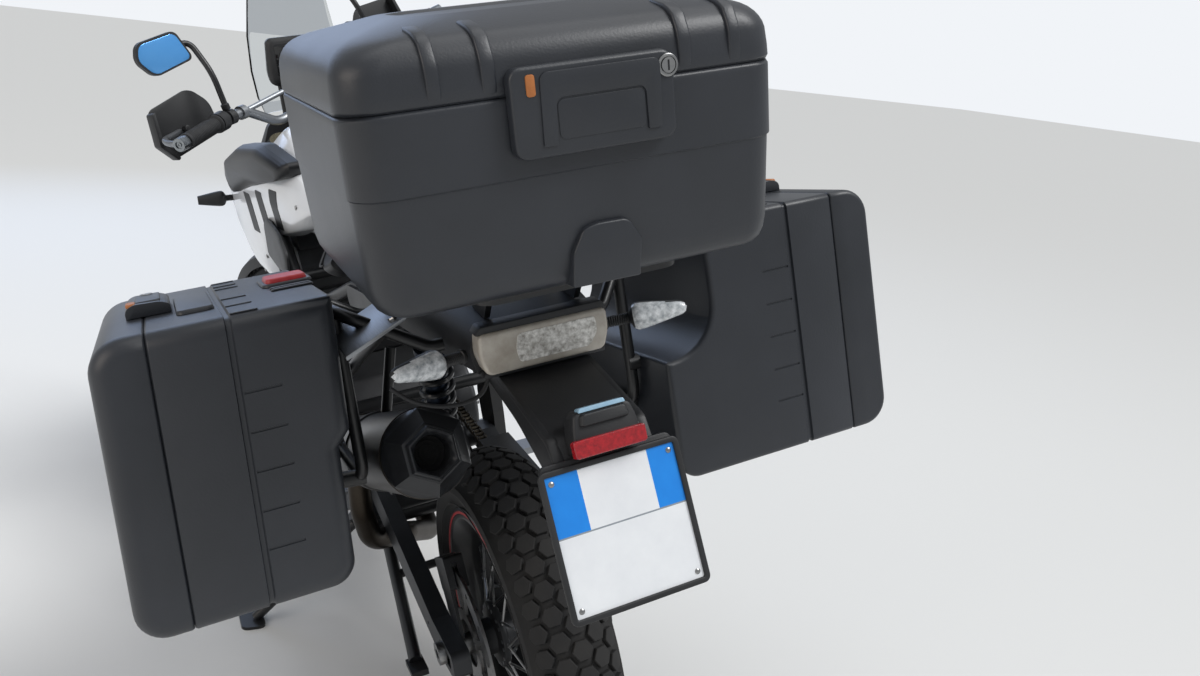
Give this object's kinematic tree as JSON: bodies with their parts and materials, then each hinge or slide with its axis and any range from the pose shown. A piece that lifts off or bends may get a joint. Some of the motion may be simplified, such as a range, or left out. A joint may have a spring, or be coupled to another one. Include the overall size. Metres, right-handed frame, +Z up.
{
  "type": "adventure motorcycle",
  "caption": "Upright touring motorcycle with spoked wheels, wide handlebar with guards, tall screen, racks and hinged hard cases beside and behind the seat, leaning on its side stand.",
  "frame": {"origin": "on the ground, at the middle of the parked machine's footprint box", "axes": "+X to the machine's right, +Y forward, +Z up; the machine leans towards -X"},
  "size_m": [1.1834, 2.4024, 1.4809],
  "materials": {
    "tyre_rubber": "matt black rubber",
    "wheel_metal": "satin anodised rim, steel spokes",
    "disc_steel": "ground steel",
    "chain_steel": "oiled steel",
    "black_plastic": "grained black",
    "swingarm_metal": "dark grey paint",
    "black_metal": "satin black paint",
    "damper_metal": "dark blue and steel",
    "spring_steel": "black paint",
    "engine_metal": "dark cast aluminium",
    "radiator_metal": "black coated fins",
    "exhaust_steel": "heat-tinted steel",
    "silencer_skin": "dark satin skin",
    "bare_aluminium": "brushed",
    "fork_metal": "anodised tubes",
    "seat_cover": "grained black cover",
    "white_paint": "gloss white",
    "lamp_lens": "clear lens",
    "screen": "clear sheet",
    "plate_white": "reflective white, blank",
    "grip_rubber": "ribbed black rubber",
    "case_plastic": "textured black"
  },
  "bodies": {
    "chassis": {"rear_axle": "disc_steel", "drive_chain": "chain_steel", "chain_guard": "black_plastic", "rear_mudguard": "black_plastic", "tail_cover": "black_plastic", "knee_panels": "black_plastic", "beak": "black_plastic", "instruments": "black_plastic", "indicators": "black_plastic", "swingarm": "swingarm_metal", "rear_caliper": "black_metal", "frame": "black_metal", "subframe": "black_metal", "pannier_racks": "black_metal", "silencer_cap": "black_metal", "shock_damper": "damper_metal", "shock_spring": "spring_steel", "crankcase": "engine_metal", "cylinders": "engine_metal", "radiator": "radiator_metal", "exhaust_pipes": "exhaust_steel", "silencer": "silencer_skin", "bash_plate": "bare_aluminium", "footrests": "bare_aluminium", "foot_controls": "bare_aluminium", "luggage_rack": "bare_aluminium", "seat": "seat_cover", "tank_cover": "white_paint", "side_fairings": "white_paint", "headlamp": "lamp_lens", "tail_lamp": "lamp_lens", "windscreen": "screen", "number_plate": "plate_white", "top_case_body": "case_plastic", "pannier_left_body": "case_plastic", "pannier_right_body": "case_plastic"},
    "steering": {"triple_clamps": "black_metal", "fork_legs": "fork_metal", "front_axle": "disc_steel", "front_calipers": "black_metal", "front_mudguard": "black_plastic", "handlebar": "bare_aluminium", "grips": "grip_rubber", "hand_controls": "black_plastic", "handguards": "black_plastic", "mirrors": "black_plastic"},
    "front_wheel": {"front_tyre": "tyre_rubber", "front_wheel_spoked": "wheel_metal", "front_brake_discs": "disc_steel"},
    "rear_wheel": {"rear_tyre": "tyre_rubber", "rear_wheel_spoked": "wheel_metal", "rear_brake_disc": "disc_steel", "rear_sprocket": "disc_steel"},
    "side_stand": {"side_stand": "black_metal"},
    "centre_stand": {"centre_stand": "black_metal"},
    "top_case_lid": {"top_case_lid": "case_plastic"},
    "pannier_left_lid": {"pannier_left_lid": "case_plastic"},
    "pannier_right_lid": {"pannier_right_lid": "case_plastic"}
  },
  "joints": [
    {"name": "steering_axis", "type": "hinge", "parent": "chassis", "child": "steering", "pos_m": [0.15243, 1.01189, -0.01035], "axis": [-0.193, -0.4324, 0.8808], "range_deg": [-64, 0]},
    {"name": "front_wheel_spin", "type": "hinge", "parent": "steering", "child": "front_wheel", "pos_m": [0.05385, 0.89067, 0.32189], "axis": [0.7784, 0.4791, 0.4057], "continuous": true},
    {"name": "rear_wheel_spin", "type": "hinge", "parent": "chassis", "child": "rear_wheel", "pos_m": [0.0835, -0.68094, 0.31469], "axis": [0.9767, 0.0015, 0.2147], "continuous": true},
    {"name": "side_stand_fold", "type": "hinge", "parent": "chassis", "child": "side_stand", "pos_m": [-0.07154, -0.08142, 0.24273], "axis": [-0.7423, 0.0237, 0.6697], "range_deg": [0, 82]},
    {"name": "centre_stand_drop", "type": "hinge", "parent": "chassis", "child": "centre_stand", "pos_m": [0.08543, -0.16601, 0.30239], "axis": [0.9767, 0.0015, 0.2147], "range_deg": [0, 80]},
    {"name": "top_case_lid_hinge", "type": "hinge", "parent": "chassis", "child": "top_case_lid", "pos_m": [-0.12329, -0.74354, 1.25567], "axis": [-0.9767, -0.0015, -0.2147], "range_deg": [0, 80]},
    {"name": "pannier_left_lid_hinge", "type": "hinge", "parent": "chassis", "child": "pannier_left_lid", "pos_m": [-0.4656, -0.7132, 0.49902], "axis": [-0.0336, -0.9866, 0.1595], "range_deg": [0, 80]},
    {"name": "pannier_right_lid_hinge", "type": "hinge", "parent": "chassis", "child": "pannier_right_lid", "pos_m": [0.52679, -0.71171, 0.7172], "axis": [0.0336, 0.9866, -0.1595], "range_deg": [0, 80]}
  ]
}
